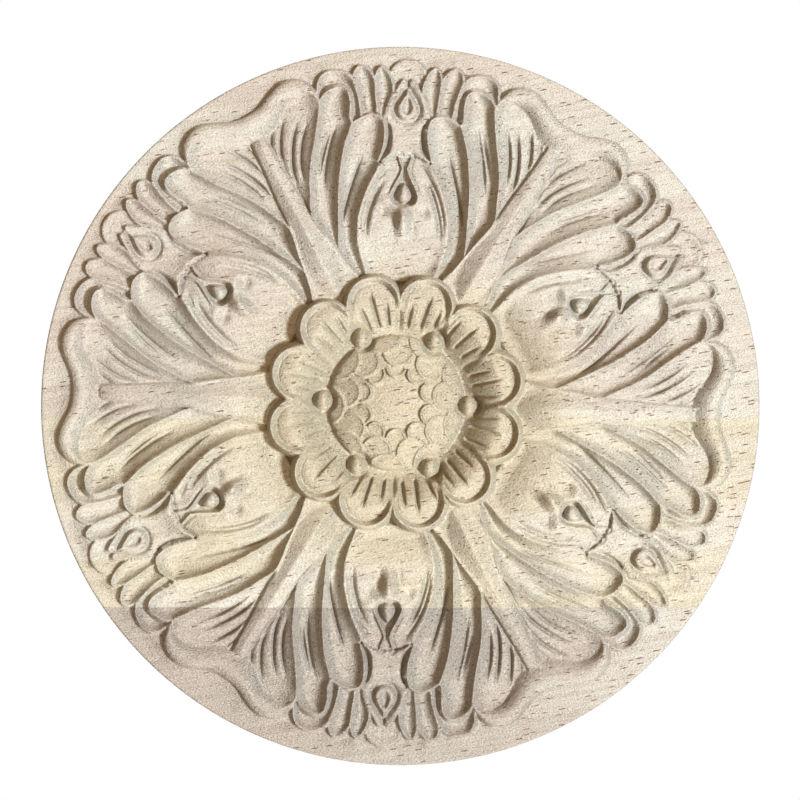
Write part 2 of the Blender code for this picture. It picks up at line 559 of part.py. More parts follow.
def make_rosette(material):
    ring, turn, height = carved_heights()
    ring_count, around = ring.shape
    directions = turn[0] + PATTERN_TURN
    edge_directions = directions[::EDGE_SHARE]
    reach = disc_reach(edge_directions)
    vertices = points_at(ring, directions, GROUND_LEVEL + height)
    front_edge = len(vertices)
    vertices += points_at(reach, edge_directions, GROUND_LEVEL)
    back_edge = len(vertices)
    vertices += points_at(reach, edge_directions, 0.0)
    front_middle = len(vertices)
    vertices += points_at(np.zeros(1), np.zeros(1), GROUND_LEVEL + height[0].mean())

    faces = carving_faces(ring_count, around)
    faces += edge_faces((ring_count - 1) * around, front_edge, back_edge, around)
    faces += [(front_middle, step, (step + 1) % around) for step in range(around)]

    mesh = bpy.data.meshes.new("carved_rosette")
    mesh.from_pydata(vertices, [], faces)
    mesh.materials.append(material)
    mesh.shade_smooth()
    mesh.set_sharp_from_angle(angle=math.radians(40))
    rosette = bpy.data.objects.new("carved_rosette", mesh)
    bpy.context.scene.collection.objects.link(rosette)

    # The round edge keeps all its points, so only the carving is thinned.
    carving = rosette.vertex_groups.new(name="carving")
    carving.add(list(range(front_edge)) + [front_middle], 1.0, "REPLACE")
    thinning = rosette.modifiers.new("fewer faces", "DECIMATE")
    thinning.vertex_group = carving.name
    thinning.ratio = KEPT_FACES / sum(len(face) - 2 for face in faces)
    return rosette


def make_wood():
    material = bpy.data.materials.new("raw_rubberwood")
    material.use_nodes = True
    shader = material.node_tree.nodes["Principled BSDF"]
    shader.inputs["Base Color"].default_value = (0.72, 0.60, 0.44, 1.0)
    shader.inputs["Roughness"].default_value = 0.75
    shader.inputs["Metallic"].default_value = 0.0
    return material


for old in list(bpy.data.objects):
    bpy.data.objects.remove(old, do_unlink=True)
make_rosette(make_wood())
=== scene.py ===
import math
import random

import bpy
import numpy as np
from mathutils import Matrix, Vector


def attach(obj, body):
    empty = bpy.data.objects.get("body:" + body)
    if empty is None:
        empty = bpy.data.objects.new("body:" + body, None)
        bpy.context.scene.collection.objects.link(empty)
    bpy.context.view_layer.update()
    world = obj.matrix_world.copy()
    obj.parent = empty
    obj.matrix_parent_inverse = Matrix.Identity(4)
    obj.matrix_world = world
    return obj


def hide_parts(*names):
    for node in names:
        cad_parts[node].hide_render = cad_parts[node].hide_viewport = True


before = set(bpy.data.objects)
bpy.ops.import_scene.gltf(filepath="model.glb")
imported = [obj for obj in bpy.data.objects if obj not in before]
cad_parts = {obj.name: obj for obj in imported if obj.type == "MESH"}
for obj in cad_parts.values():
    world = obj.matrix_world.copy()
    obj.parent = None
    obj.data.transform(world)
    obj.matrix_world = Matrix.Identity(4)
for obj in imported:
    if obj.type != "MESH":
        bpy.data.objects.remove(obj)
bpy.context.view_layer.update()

mm = 0.001

# The carving is six leaves round a flower, each half leaf the mirror image of the other.
# Heights are over the ground, the flat front of the border.
rosette = {
    "discRadius": 149.95,         # mm, and so are all lengths here
    "groundLevel": 8.6,           # front of the plain border over the back
    "frontArris": 0.5,            # how far the front edge is eased, and the back edge below
    "backArris": 0.4,
    "leafCount": 6,
    "reliefDepth": 1.28,          # how deep the carving is, as a share of the heights below
    "patternShiftX": -1.8,        # the carving sits a little off the board's centre
    "patternShiftZ": 1.2,
    "patternTurn": -2.2,          # degrees
    "patternRadius": 144.6,

    # slopes of the cut walls, rise over run
    "outerWall": 1.4,
    "neckWall": 1.9,
    "lipWall": 1.5,
    "flowerWall": 2.2,
    "pocketWall": 1.5,
    "bossWall": 1.8,

    # lobes and the lip at the leaf's tip
    "lobeDepth": 2.9,
    "ridgeReach": 2.4,            # how far a ridge's flank runs out into the first lobe
    "creaseReach": 3.0,
    "lipCrown": 1.2,              # how far the lip rises from its rim before it falls to the crease
    "lipRound": 2.2,              # how broadly the rim is rounded
    "lipBend": 2.6,               # how late the lip falls to the crease
    "stemGroove": 1.3,            # depth and width of the groove beside the stem
    "stemGrooveWidth": 0.6,
    "veinWidth": 0.6,
    "veinCut": 1.7,
    "veinStep": 0.6,

    # the small leaf behind
    "curlDepth": 2.4,
    "backLobeTwoDepth": 1.9,
    "backLobeOneDepth": 1.8,
    "neckDrop": 2.2,
    "neckGroove": 0.6,
    "neckGrooveWidth": 1.0,
    "neckGrooveFloor": 0.4,
    "dropGroove": 0.9,            # groove round the teardrop, its raised ring and its hollow heart
    "dropRing": 0.9,
    "dropHollow": 1.0,

    # the tongue's eye
    "pocketFloor": 1.7,           # floor of the eye over the ground
    "eyeBeadRise": 2.9,
    "strandGroove": 0.6,          # depth of the fine groove beside the slit, and how far out it runs
    "strandPlace": 1.3,

    # flower
    "petalRing": 42.1,
    "petalRadius": 12.2,
    "petalRimRise": 2.0,
    "petalRimPlace": 1.2,         # how far in from the petal's edge the rim's top is
    "petalCrease": 1.1,
    "petalStrokes": (-8.0, 0.0, 8.0),  # degrees from the petal's middle
    "strokeStart": 31.4,
    "strokeEnd": 48.0,
    "strokeDepth": 1.2,
    "strokeWidth": 0.7,
    "bossRadius": 27.8,
    "bossTop": 3.4,
    "bossDrop": 4.3,
    "beadRing": 30.5,
    "beadRadius": 4.4,
    "beadBase": -2.2,
    "beadRise": 2.9,

    # how finely it is worked out
    "pullStep": 0.3,              # spacing of the steps along an edge that shapes a scoop
    "sectorSteps": 120,           # steps round one twelfth
    "ringStep": 0.4,
    "keptTriangles": 196000,
}

sector = math.pi / rosette["leafCount"]

# Curves of one half leaf and one half gap between leaves: points across the axis and along it, then the
# height. Those from stemCrest to petalProfile run along an axis: distance from the centre, then height or
# width. A form of the eye is its rise, its place across and along, its width and its length, and a row of
# scales is the inmost radius, each arc's radius, the rise, the first angle and the count.
curves = {
    "ridgeOne": ((8.2, 66.0, 4.4), (7.2, 73.4, 4.8), (6.0, 79.5, 5.0), (5.4, 85.7, 4.7), (8.4, 92.0, 4.0),
                 (12.2, 99.8, 3.4), (16.2, 106.1, 3.0), (21.8, 113.3, 2.7), (26.9, 120.3, 2.5),
                 (30.4, 125.6, 2.2)),
    "ridgeTwo": ((11.0, 54.0, 3.0), (9.6, 58.0, 3.6), (8.8, 62.0, 4.2), (8.4, 66.2, 4.4), (10.1, 70.2, 4.3),
                 (12.1, 74.1, 4.1), (15.1, 79.9, 4.0), (20.0, 89.1, 4.0), (25.1, 97.0, 3.8),
                 (31.2, 104.9, 3.4), (38.4, 111.8, 2.4)),
    "lobeOneTip": ((0.0, 134.8, 0.9), (4.0, 135.1, 0.9), (8.0, 136.1, 1.0), (12.0, 137.8, 1.2),
                   (16.0, 139.4, 1.3), (20.0, 140.2, 1.3), (24.0, 139.4, 1.3), (27.6, 137.0, 1.4),
                   (29.6, 133.6, 1.6), (30.4, 129.5, 1.9), (30.4, 125.6, 2.2)),
    "lipCrease": ((0.0, 123.8, -0.2), (3.0, 123.8, -0.4), (4.4, 123.9, -0.9), (8.2, 124.8, -0.9),
                  (12.0, 127.4, -0.8), (15.0, 129.6, -0.6), (18.5, 131.3, -0.4), (24.0, 131.9, 0.2),
                  (28.0, 130.4, 1.0), (30.4, 126.4, 2.2)),
    "lobeTwoTip": ((36.8, 124.0, 2.2), (35.7, 126.5, 2.2), (33.6, 128.8, 2.1), (30.5, 130.4, 2.1),
                    (27.4, 130.8, 2.3), (25.2, 129.4, 2.6), (24.2, 126.8, 2.8), (23.7, 123.0, 2.8),
                    (23.7, 119.0, 2.6), (22.7, 116.0, 2.4)),
    "lobeThreeTip": ((22.7, 116.0, 2.4), (21.1, 117.2, 2.3), (18.9, 118.6, 2.3), (15.8, 119.8, 2.4),
                      (12.7, 119.6, 2.5), (10.4, 118.4, 2.6), (9.3, 115.8, 2.7), (8.9, 111.5, 2.8),
                      (9.2, 108.0, 2.9), (9.9, 104.8, 3.0), (10.8, 101.3, 3.1)),
    "eyeRim": ((10.6, 99.6, 3.2), (12.1, 96.0, 3.8), (14.8, 90.5, 4.3), (16.3, 86.5, 4.3), (17.6, 82.3, 4.2),
               (18.7, 77.0, 4.1), (19.0, 72.0, 4.0), (18.7, 67.0, 3.9), (17.6, 62.0, 3.5), (16.0, 57.5, 3.0),
               (14.6, 53.0, 2.4)),
    "eyeGroove": ((8.6, 92.5, 0.2), (10.4, 90.0, 1.0), (12.0, 86.5, 1.3), (13.3, 83.0, 1.3),
                  (14.3, 79.5, 1.3), (15.1, 75.5, 1.2), (15.4, 71.5, 0.7), (15.3, 68.0, 0.1)),
    "eyeFineGroove": ((6.8, 98.6, 0.0), (9.4, 95.2, 0.6), (12.2, 90.8, 0.8), (14.4, 86.0, 0.8),
                      (15.9, 81.0, 0.8), (16.9, 76.0, 0.6), (17.1, 71.0, 0.0)),
    "eyeOpening": ((2.3, 102.9, 2.2), (2.1, 101.6, 2.5), (1.4, 99.8, 2.8), (0.8, 97.8, 3.1), (1.1, 96.0, 3.4),
                   (2.1, 93.6, 3.8), (3.9, 90.1, 4.1), (5.2, 87.0, 4.2), (5.4, 85.2, 4.2), (4.6, 83.2, 4.3),
                   (2.8, 82.0, 4.4), (0.0, 81.6, 4.5)),
    "centreLobe": ((0.0, 143.4, 0.9), (3.0, 142.8, 0.9), (5.8, 141.0, 0.9), (7.6, 137.8, 0.9),
                   (8.2, 134.0, 0.9), (8.2, 130.0, 0.9)),
    "curlLobe": ((37.2, 124.5, 2.0), (37.9, 129.0, 1.7), (37.8, 132.0, 1.6), (36.6, 135.0, 1.5),
                 (34.0, 136.9, 1.5), (30.5, 137.5, 1.6), (27.0, 137.0, 1.7), (24.2, 135.4, 1.9),
                 (22.7, 132.8, 2.1), (21.4, 129.5, 2.3), (20.2, 125.5, 2.3), (19.4, 121.0, 2.1),
                 (19.0, 117.0, 1.9)),
    "backLobeTwo": ((22.7, 132.8, 2.1), (23.0, 136.0, 1.6), (22.4, 138.2, 1.5), (21.0, 139.7, 1.5),
                     (19.4, 139.9, 1.5), (17.4, 139.0, 1.6), (15.4, 136.9, 1.8), (14.1, 134.0, 2.0),
                     (13.6, 130.0, 2.2), (13.2, 126.5, 2.1), (12.7, 123.0, 2.0), (12.2, 118.0, 1.8)),
    "backLobeOne": ((13.6, 132.0, 2.1), (13.9, 134.8, 1.8), (13.4, 137.6, 1.6), (12.4, 139.5, 1.5),
                     (11.2, 140.0, 1.5), (9.6, 139.0, 1.6), (8.2, 137.2, 1.7), (7.0, 134.6, 1.9),
                     (6.3, 132.0, 2.1), (6.3, 129.5, 2.1), (7.0, 127.0, 2.1), (8.0, 124.5, 2.0),
                     (8.9, 121.5, 1.9), (9.4, 118.0, 1.8)),
    "dropEdge": ((0.0, 116.9, 0.0), (3.3, 118.1, 0.0), (5.2, 121.2, 0.0), (4.9, 124.4, 0.0),
                 (3.2, 127.4, 0.0), (1.4, 130.0, 0.0), (0.0, 132.4, 0.0)),
    "dropHeart": ((0.0, 121.2, 0.0), (1.0, 122.4, 0.0), (0.9, 124.2, 0.0), (0.0, 126.6, 0.0)),
    "beadEdge": ((0.0, 83.2, 0.0), (2.3, 84.1, 0.0), (3.2, 86.4, 0.0), (2.5, 88.7, 0.0), (1.1, 90.6, 0.0),
                 (0.0, 91.8, 0.0)),
    "finger": ((0.5, 132.0, 1.6), (1.0, 133.9, 1.6), (2.0, 134.7, 1.6), (3.1, 133.5, 1.7), (4.5, 130.9, 1.9),
               (6.0, 127.9, 1.9), (7.2, 124.8, 1.7), (8.4, 121.0, 1.5), (9.2, 117.0, 1.2)),
    "neckEdge": ((0.0, 102.9, 0.0), (2.6, 103.0, 0.0), (4.6, 102.7, 0.0), (6.6, 102.0, 0.0),
                 (8.4, 101.1, 0.0), (10.2, 100.1, 0.0)),
    "stemCrest": ((50, 2.6), (52, 3.3), (56, 4.5), (60, 5.4), (64, 6.0), (70, 6.3), (80, 5.7), (86, 4.9),
                  (90, 4.3), (94, 3.7), (100, 3.0), (106, 2.4), (112, 1.9), (118, 1.3), (124, 0.3),
                  (128, 0.0)),
    "stemHalfWidth": ((50, 13.0), (58, 10.5), (67, 8.2), (80, 5.8), (86, 5.0), (100, 4.1), (110, 3.4),
                      (124, 2.8), (130, 2.6)),
    "leafFloor": ((50, 2.4), (60, 3.0), (70, 3.2), (80, 2.8), (90, 2.0), (100, 1.4), (110, 0.8), (118, 0.3),
                  (124, -0.1), (134, -0.1)),
    "gapBody": ((50, 1.0), (56, 1.5), (60, 2.5), (66, 3.5), (72, 3.9), (80, 3.9), (88, 3.6), (94, 3.1),
                (99, 2.2), (103, 1.8)),
    "neck": ((98, 3.0), (101, 3.0), (103, 2.8), (106, 1.9), (110, 1.2), (114, 0.9), (118, 0.9), (122, 1.2),
             (136, 1.2)),
    "neckHalfWidth": ((98, 11.0), (101, 9.6), (103, 7.6), (106, 6.2), (112, 6.0), (116, 7.0), (119, 8.6),
                      (136, 9.0)),
    "petalProfile": ((28.0, -2.4), (29.5, -2.3), (32.0, -1.1), (35.0, 0.8), (38.0, 2.4), (41.0, 3.6),
                     (44.0, 4.2), (48.0, 3.9), (51.0, 3.4), (55.0, 3.2)),
    "lobeVeins": (
        ((3.6, 118.0, 0.0), (4.4, 120.5, 0.5), (6.6, 124.6, 0.5), (9.0, 127.4, 0.0)),
        ((4.8, 108.0, 0.0), (5.8, 114.0, 0.7), (8.4, 119.5, 0.7), (11.6, 124.6, 0.5), (14.0, 127.6, 0.0)),
        ((5.4, 98.0, 0.0), (7.4, 106.0, 0.8), (10.4, 112.6, 0.8), (14.4, 118.8, 0.6), (18.4, 123.6, 0.0)),
        ((8.6, 99.0, 0.0), (11.6, 107.0, 0.7), (15.2, 113.4, 0.7), (19.2, 118.4, 0.4), (22.4, 122.0, 0.0)),
        ((15.6, 98.6, 0.0), (20.0, 104.3, 0.5), (25.0, 109.8, 0.5), (30.0, 115.0, 0.0)),
        ((14.4, 92.0, 0.0), (19.1, 99.5, 0.6), (23.4, 105.2, 0.6), (28.4, 110.9, 0.5), (33.0, 115.6, 0.0)),
        ((13.8, 74.5, 0.0), (17.5, 80.0, 0.7), (23.0, 86.0, 0.7), (31.6, 94.5, 0.5), (37.0, 99.4, 0.0)),
    ),
    "eyeForms": (
        (3.0, 0.0, 76.6, 3.1, 4.9),
        (0.6, 7.4, 84.0, 2.4, 1.9),
        (-0.9, 8.4, 79.4, 2.3, 2.1),
        (-0.7, 3.8, 73.5, 1.7, 4.3),
    ),
    "scaleRows": (
        (21.3, 8.6, 0.35, 24.0, 9),
        (15.3, 6.4, 0.45, 10.0, 9),
        (10.6, 4.4, 0.75, 20.0, 10),
    ),
}


def smoothStep(value, low, high):
    part = np.clip((value - low) / (high - low), 0.0, 1.0)
    return part * part * (3.0 - 2.0 * part)


def alongAxis(distance, table):
    dense = smoothCurve([(station, height, 0.0) for station, height in table])
    return np.interp(distance, dense[:, 0], dense[:, 1])


def bump(across, along, centreAcross, centreAlong, width, length):
    return np.exp(-((across - centreAcross) / width) ** 2 - ((along - centreAlong) / length) ** 2)


# A curve that runs smoothly through the points and keeps their heights.
def smoothCurve(points, steps=6):
    known = np.array(points, float)
    known = np.vstack([2 * known[0] - known[1], known, 2 * known[-1] - known[-2]])
    part = np.linspace(0.0, 1.0, steps, endpoint=False)[:, None]
    spans = []
    for before, start, end, after in zip(known[:-3], known[1:-2], known[2:-1], known[3:]):
        straight = (end - before) * part
        square = (2 * before - 5 * start + 4 * end - after) * part ** 2
        cube = (3 * start - before - 3 * end + after) * part ** 3
        spans.append(0.5 * (2 * start + straight + square + cube))
    spans.append(known[-2:-1])
    return np.vstack(spans)


# Turns points given across and along the gap axis into points across and along the leaf axis.
def toLeafFrame(points):
    turned = []
    for across, along, height in points:
        x = along * math.sin(sector) - across * math.cos(sector)
        y = along * math.cos(sector) + across * math.sin(sector)
        turned.append((x, y, height))
    return turned


# Distance to a curve, the curve's height there, and the side: +1 on its left, -1 on its right.
def nearest(x, y, curve):
    distance = np.full(x.shape, np.inf)
    height = np.zeros(x.shape)
    side = np.ones(x.shape)
    for (x0, y0, h0), (x1, y1, h1) in zip(curve[:-1], curve[1:]):
        runX = x1 - x0
        runY = y1 - y0
        part = ((x - x0) * runX + (y - y0) * runY) / (runX ** 2 + runY ** 2)
        part = np.clip(part, 0.0, 1.0)
        gapX = x - x0 - part * runX
        gapY = y - y0 - part * runY
        found = np.hypot(gapX, gapY)
        closer = found < distance
        distance = np.where(closer, found, distance)
        height = np.where(closer, h0 + part * (h1 - h0), height)
        side = np.where(closer, np.sign(runX * gapY - runY * gapX), side)
    return distance, height, side


def inside(x, y, corners):
    within = np.zeros(x.shape, bool)
    for (x0, y0), (x1, y1) in zip(corners, np.roll(corners, -1, axis=0)):
        if y0 == y1:
            continue
        crossing = (y0 > y) != (y1 > y)
        within ^= crossing & (x < x0 + (y - y0) * (x1 - x0) / (y1 - y0))
    return within


def outline(*runs):
    return np.vstack([np.array(run, float)[:, :2] for run in runs])


def smoothMax(first, second, width):
    return 0.5 * (first + second + np.hypot(first - second, width))


# How much a curve counts at each point, falling off smoothly, and the same times the curve's height.
def pull(x, y, curve):
    count = np.zeros(x.shape)
    lifted = np.zeros(x.shape)
    for (x0, y0, h0), (x1, y1, h1) in zip(curve[:-1], curve[1:]):
        length = math.hypot(x1 - x0, y1 - y0)
        parts = math.ceil(length / rosette["pullStep"])
        for index in range(parts):
            part = (index + 0.5) / parts
            gapX = x - x0 - part * (x1 - x0)
            gapY = y - y0 - part * (y1 - y0)
            share = length / parts / (gapX ** 2 + gapY ** 2 + rosette["pullStep"] ** 2) ** 2
            count += share
            lifted += share * (h0 + part * (h1 - h0))
    return count, lifted


# Beside a long straight edge this is the distance to it, and round a bend it changes smoothly.
def edgeDistance(x, y, curve):
    count, lifted = pull(x, y, curve)
    return pullDistance(count), lifted / count


def pullDistance(count):
    return np.sqrt(np.clip((0.5 * math.pi / count) ** (2 / 3) - rosette["pullStep"] ** 2, 0.0, None))


# A hollow that starts at its edges' heights, falls off them at their slopes and has a flat floor.
def scoop(x, y, edges, depth):
    weight = 0.0
    level = 0.0
    steepness = 0.0
    for curve, slope in edges:
        count, lifted = pull(x, y, curve)
        weight = weight + count
        level = level + lifted
        steepness = steepness + count * slope
    return level / weight - depth * np.tanh(steepness / weight * pullDistance(weight) / depth)


# Lays a raised form over what lies below, with a sloping wall outside its edge.
def layOver(below, surface, within, distance, rimHeight, wall):
    walled = np.maximum(below, rimHeight - wall * distance)
    return np.where(within, surface, walled)


# A fine groove along each vein, with the leaf a little higher on one side of it than on the other.
def veinRelief(x, y):
    total = np.zeros(x.shape)
    for points in curves["lobeVeins"]:
        distance, rise, side = nearest(x, y, smoothCurve(points))
        step = rosette["veinStep"] * np.tanh(side * distance / 0.3) * np.exp(-distance / 1.6)
        total += rise * (step - rosette["veinCut"] * np.exp(-(distance / rosette["veinWidth"]) ** 2))
    return total


def stemSurface(x, y):
    crest = alongAxis(y, curves["stemCrest"])
    halfWidth = alongAxis(y, curves["stemHalfWidth"])
    flank = 0.3 - 0.08 * smoothStep(y, 80.0, 96.0)
    beyond = np.clip(np.abs(x) - halfWidth, 0.0, None)
    surface = crest - flank * (np.hypot(x, 0.7) - 0.7) - 1.2 * beyond
    return np.where(y > 127.0, -10.0, surface)


# The small leaf that shows behind and between two main leaves, over the flat ground.
def backLeafSurface(x, y, across, along):
    height = np.zeros(x.shape)

    edge = smoothCurve(toLeafFrame(curves["centreLobe"]))
    distance, rim, _ = nearest(x, y, edge)
    within = inside(x, y, outline(edge, toLeafFrame([(-3, 130, 0), (-3, 143.4, 0)])))
    surface = rim - 0.5 * np.tanh(distance / 2.5)
    height = layOver(height, surface, within, distance, rim, rosette["outerWall"])

    hidden = toLeafFrame([(18, 112, 0), (34, 112, 0)])
    edge = smoothCurve(toLeafFrame(curves["curlLobe"]))
    distance, rim, _ = nearest(x, y, edge)
    within = inside(x, y, outline(edge, hidden))
    surface = scoop(x, y, [(edge, 1.0)], rosette["curlDepth"])
    height = layOver(height, surface, within, distance, rim, rosette["outerWall"])
    curlEdge = edge

    edge = smoothCurve(toLeafFrame(curves["backLobeTwo"]))
    distance, rim, _ = nearest(x, y, edge)
    corners = outline(edge, toLeafFrame([(14, 112, 0), (18, 112, 0), (19, 117, 0), (19.4, 121, 0),
                                           (20.2, 125.5, 0), (21.4, 129.5, 0)]))
    within = inside(x, y, corners)
    surface = scoop(x, y, [(edge, 1.1), (curlEdge, 0.9)], rosette["backLobeTwoDepth"])
    height = layOver(height, surface, within, distance, rim, rosette["outerWall"])
    secondEdge = edge

    edge = smoothCurve(toLeafFrame(curves["backLobeOne"]))
    distance, rim, _ = nearest(x, y, edge)
    corners = outline(edge, toLeafFrame([(10, 112, 0), (12, 112, 0), (12.2, 118, 0), (12.7, 123, 0),
                                           (13.2, 126.5, 0)]))
    within = inside(x, y, corners)
    surface = scoop(x, y, [(edge, 1.1), (secondEdge, 0.9)], rosette["backLobeOneDepth"])
    height = layOver(height, surface, within, distance, rim, rosette["outerWall"])

    edge = smoothCurve(toLeafFrame(curves["finger"]))
    distance, rim, _ = nearest(x, y, edge)
    corners = outline(edge, toLeafFrame([(10.5, 100, 0), (-3, 98, 0), (-3, 131, 0), (0, 131.5, 0)]))
    within = inside(x, y, corners)
    centre = alongAxis(along, curves["neck"])
    edgeRise = (rim - centre) * np.exp(-distance / 1.6) * smoothStep(along, 112.0, 120.0)
    beyond = np.abs(across) - alongAxis(along, curves["neckHalfWidth"])
    surface = centre + edgeRise + 0.006 * across ** 2 - rosette["neckDrop"] * smoothStep(beyond, -0.5, 1.5)
    height = layOver(height, surface, within, distance, rim, rosette["outerWall"])
    return height + teardropRelief(x, y)


# A drop with a hollow heart, ringed by a groove and drawn out to a point away from the centre.
def teardropRelief(x, y):
    edge = smoothCurve(toLeafFrame(curves["dropEdge"]))
    distance, _, _ = nearest(x, y, edge)
    within = inside(x, y, outline(edge, toLeafFrame([(-3, 133, 0), (-3, 116, 0)])))
    inward = np.where(within, distance, -distance)
    heart = smoothCurve(toLeafFrame(curves["dropHeart"]))
    heartDistance, _, _ = nearest(x, y, heart)
    inHeart = inside(x, y, outline(heart, toLeafFrame([(-3, 126.6, 0), (-3, 121, 0)])))
    heartDistance = np.where(inHeart, 0.0, heartDistance)
    groove = -rosette["dropGroove"] * np.exp(-(inward / 0.9) ** 2)
    ring = rosette["dropRing"] * smoothStep(inward, 0.2, 2.0)
    return groove + ring - rosette["dropHollow"] * np.exp(-(heartDistance / 0.8) ** 2)


# The broad tongue between two leaves, with its rim, groove, nose and dents.
def eyeSurface(x, y, across, along, rimEdge):
    distance, rim, _ = nearest(x, y, rimEdge)
    body = alongAxis(along, curves["gapBody"])
    surface = body + (rim - body) * np.exp(-(distance / 2.6) ** 2)
    grooveDistance, grooveDepth, _ = nearest(x, y, smoothCurve(toLeafFrame(curves["eyeGroove"])))
    surface -= grooveDepth * np.exp(-(grooveDistance / 1.1) ** 2)
    grooveDistance, grooveDepth, _ = nearest(x, y, smoothCurve(toLeafFrame(curves["eyeFineGroove"])))
    surface -= grooveDepth * np.exp(-(grooveDistance / 0.6) ** 2)
    for rise, placeAcross, placeAlong, width, length in curves["eyeForms"]:
        surface += rise * bump(across, along, placeAcross, placeAlong, width, length)
    return surface


# The opening of the eye and its slit, sunk into the tongue, with a bead in it.
def eyePocket(x, y, along, surface):
    edge = smoothCurve(toLeafFrame(curves["eyeOpening"]))
    distance, rim, _ = nearest(x, y, edge)
    within = inside(x, y, outline(edge, toLeafFrame([(-3, 81.6, 0), (-3, 102.9, 0)])))
    sunk = np.maximum(rosette["pocketFloor"], np.minimum(surface, rim) - rosette["pocketWall"] * distance)
    surface = surface + np.clip(rim - surface, 0.0, 1.0) * np.exp(-(distance / 1.4) ** 2)
    strand = np.exp(-((distance - rosette["strandPlace"]) / 0.45) ** 2)
    surface -= rosette["strandGroove"] * strand * smoothStep(along, 86.0, 90.0)
    surface = np.where(within, sunk, surface)
    beadEdge = smoothCurve(toLeafFrame(curves["beadEdge"]))
    distance, _, _ = nearest(x, y, beadEdge)
    within = inside(x, y, outline(beadEdge, toLeafFrame([(-3, 91.8, 0), (-3, 83.2, 0)])))
    fromMiddle = 1.0 - np.clip(distance / rosette["eyeBeadRise"], 0.0, 1.0)
    bead = rosette["pocketFloor"] - 0.2 + rosette["eyeBeadRise"] * np.sqrt(1.0 - fromMiddle ** 2)
    return np.where(within, np.maximum(surface, bead), surface)


# Everything between the flower and the ground in one half leaf and half gap.
def leafSurface(x, y, across, along):
    ridgeOne = smoothCurve(curves["ridgeOne"])
    ridgeTwo = smoothCurve(curves["ridgeTwo"])
    ridgeTwoUpper = smoothCurve(curves["ridgeTwo"][3:])
    ridgeTwoLower = smoothCurve(curves["ridgeTwo"][:4])
    tipOne = smoothCurve(curves["lobeOneTip"])
    tipTwo = smoothCurve(toLeafFrame(curves["lobeTwoTip"]))
    tipThree = smoothCurve(toLeafFrame(curves["lobeThreeTip"]))
    eyeRim = smoothCurve(toLeafFrame(curves["eyeRim"]))

    inOne = inside(x, y, outline([(-3, 40, 0), (12, 50, 0)], ridgeTwoLower, ridgeOne, tipOne[::-1],
                                  [(-3, 134.8, 0)]))
    inTwo = inside(x, y, outline(ridgeOne, tipTwo, ridgeTwoUpper[::-1]))
    inThree = inside(x, y, outline(ridgeTwo, tipThree, eyeRim))
    neckEdge = smoothCurve(toLeafFrame(curves["neckEdge"]))
    inEye = inside(x, y, outline(eyeRim, toLeafFrame([(-3, 50, 0), (-3, 102.9, 0)]), neckEdge))

    crease = smoothCurve(curves["lipCrease"])
    tipDistance, tipRim = edgeDistance(x, y, tipOne)
    creaseDistance, creaseLevel = edgeDistance(x, y, crease)
    ridgeDistance, ridgeLevel = edgeDistance(x, y, np.vstack([ridgeTwoLower[:-1], ridgeOne]))
    floorLevel = alongAxis(y, curves["leafFloor"])
    floorLevel = floorLevel + (creaseLevel - floorLevel) * np.exp(-creaseDistance / rosette["creaseReach"])
    lobeOne = floorLevel + (ridgeLevel - floorLevel) * np.exp(-ridgeDistance / rosette["ridgeReach"])
    besideStem = np.abs(x) - alongAxis(y, curves["stemHalfWidth"])
    stemGroove = np.exp(-((besideStem - 0.5) / rosette["stemGrooveWidth"]) ** 2)
    lobeOne -= rosette["stemGroove"] * stemGroove * smoothStep(y, 78.0, 90.0)
    crown = rosette["lipCrown"] * (1.0 - np.exp(-tipDistance / rosette["lipRound"]))
    inward = (tipDistance / (tipDistance + creaseDistance + 0.001)) ** rosette["lipBend"]
    lip = tipRim + crown + (creaseLevel - tipRim - crown) * inward
    inLip = inside(x, y, outline(tipOne, crease[::-1]))
    lobeTwo = scoop(x, y, [(ridgeOne, 1.35), (tipTwo, 1.05), (ridgeTwoUpper, 0.9)], rosette["lobeDepth"])
    lobeThree = scoop(x, y, [(ridgeTwo, 1.35), (tipThree, 1.05), (eyeRim, 0.9)], rosette["lobeDepth"])
    veins = veinRelief(x, y)

    height = backLeafSurface(x, y, across, along)
    walls = ((tipOne, rosette["lipWall"]), (tipTwo, rosette["outerWall"]), (tipThree, rosette["neckWall"]))
    for edge, wall in walls:
        distance, rim, _ = nearest(x, y, edge)
        height = np.maximum(height, rim - wall * distance)
    height = np.where(inEye, eyeSurface(x, y, across, along, eyeRim), height)
    height = np.where(inThree, lobeThree + veins, height)
    height = np.where(inTwo, lobeTwo + veins, height)
    veins = veins * (1.0 - np.exp(-creaseDistance / 0.8))
    leafFloor = smoothMax(lobeOne + veins, stemSurface(x, y), 0.4)
    height = np.where(inOne, np.where(inLip, lip, leafFloor), height)
    height = eyePocket(x, y, along, height)
    neckDistance, _, _ = nearest(x, y, neckEdge)
    groove = rosette["neckGroove"] * np.exp(-(neckDistance / rosette["neckGrooveWidth"]) ** 2)
    cut = np.maximum(height - groove, np.minimum(height, rosette["neckGrooveFloor"]))
    return np.where(inOne | inTwo | inThree, height, cut)


# One petal, with its rolled rim and the crease to the next petal.
def petalSurface(radius, fold):
    fromMiddle = fold - sector / 2
    across = radius * np.sin(fromMiddle)
    along = radius * np.cos(fromMiddle)
    inward = rosette["petalRadius"] - np.hypot(across, along - rosette["petalRing"])
    surface = alongAxis(radius, curves["petalProfile"])
    rim = rosette["petalRimRise"] * np.exp(-((inward - rosette["petalRimPlace"]) / 1.25) ** 2)
    rim -= 0.35 * np.exp(-((inward - 3.3) / 0.6) ** 2)
    surface = surface + rim * smoothStep(radius, 36.0, 43.0)
    toCrease = radius * np.sin(np.minimum(fold, sector - fold))
    creaseReach = smoothStep(radius, 29.0, 34.0) * smoothStep(-radius, -46.5, -43.5)
    surface -= rosette["petalCrease"] * np.exp(-(toCrease / 1.3) ** 2) * creaseReach
    return surface, inward


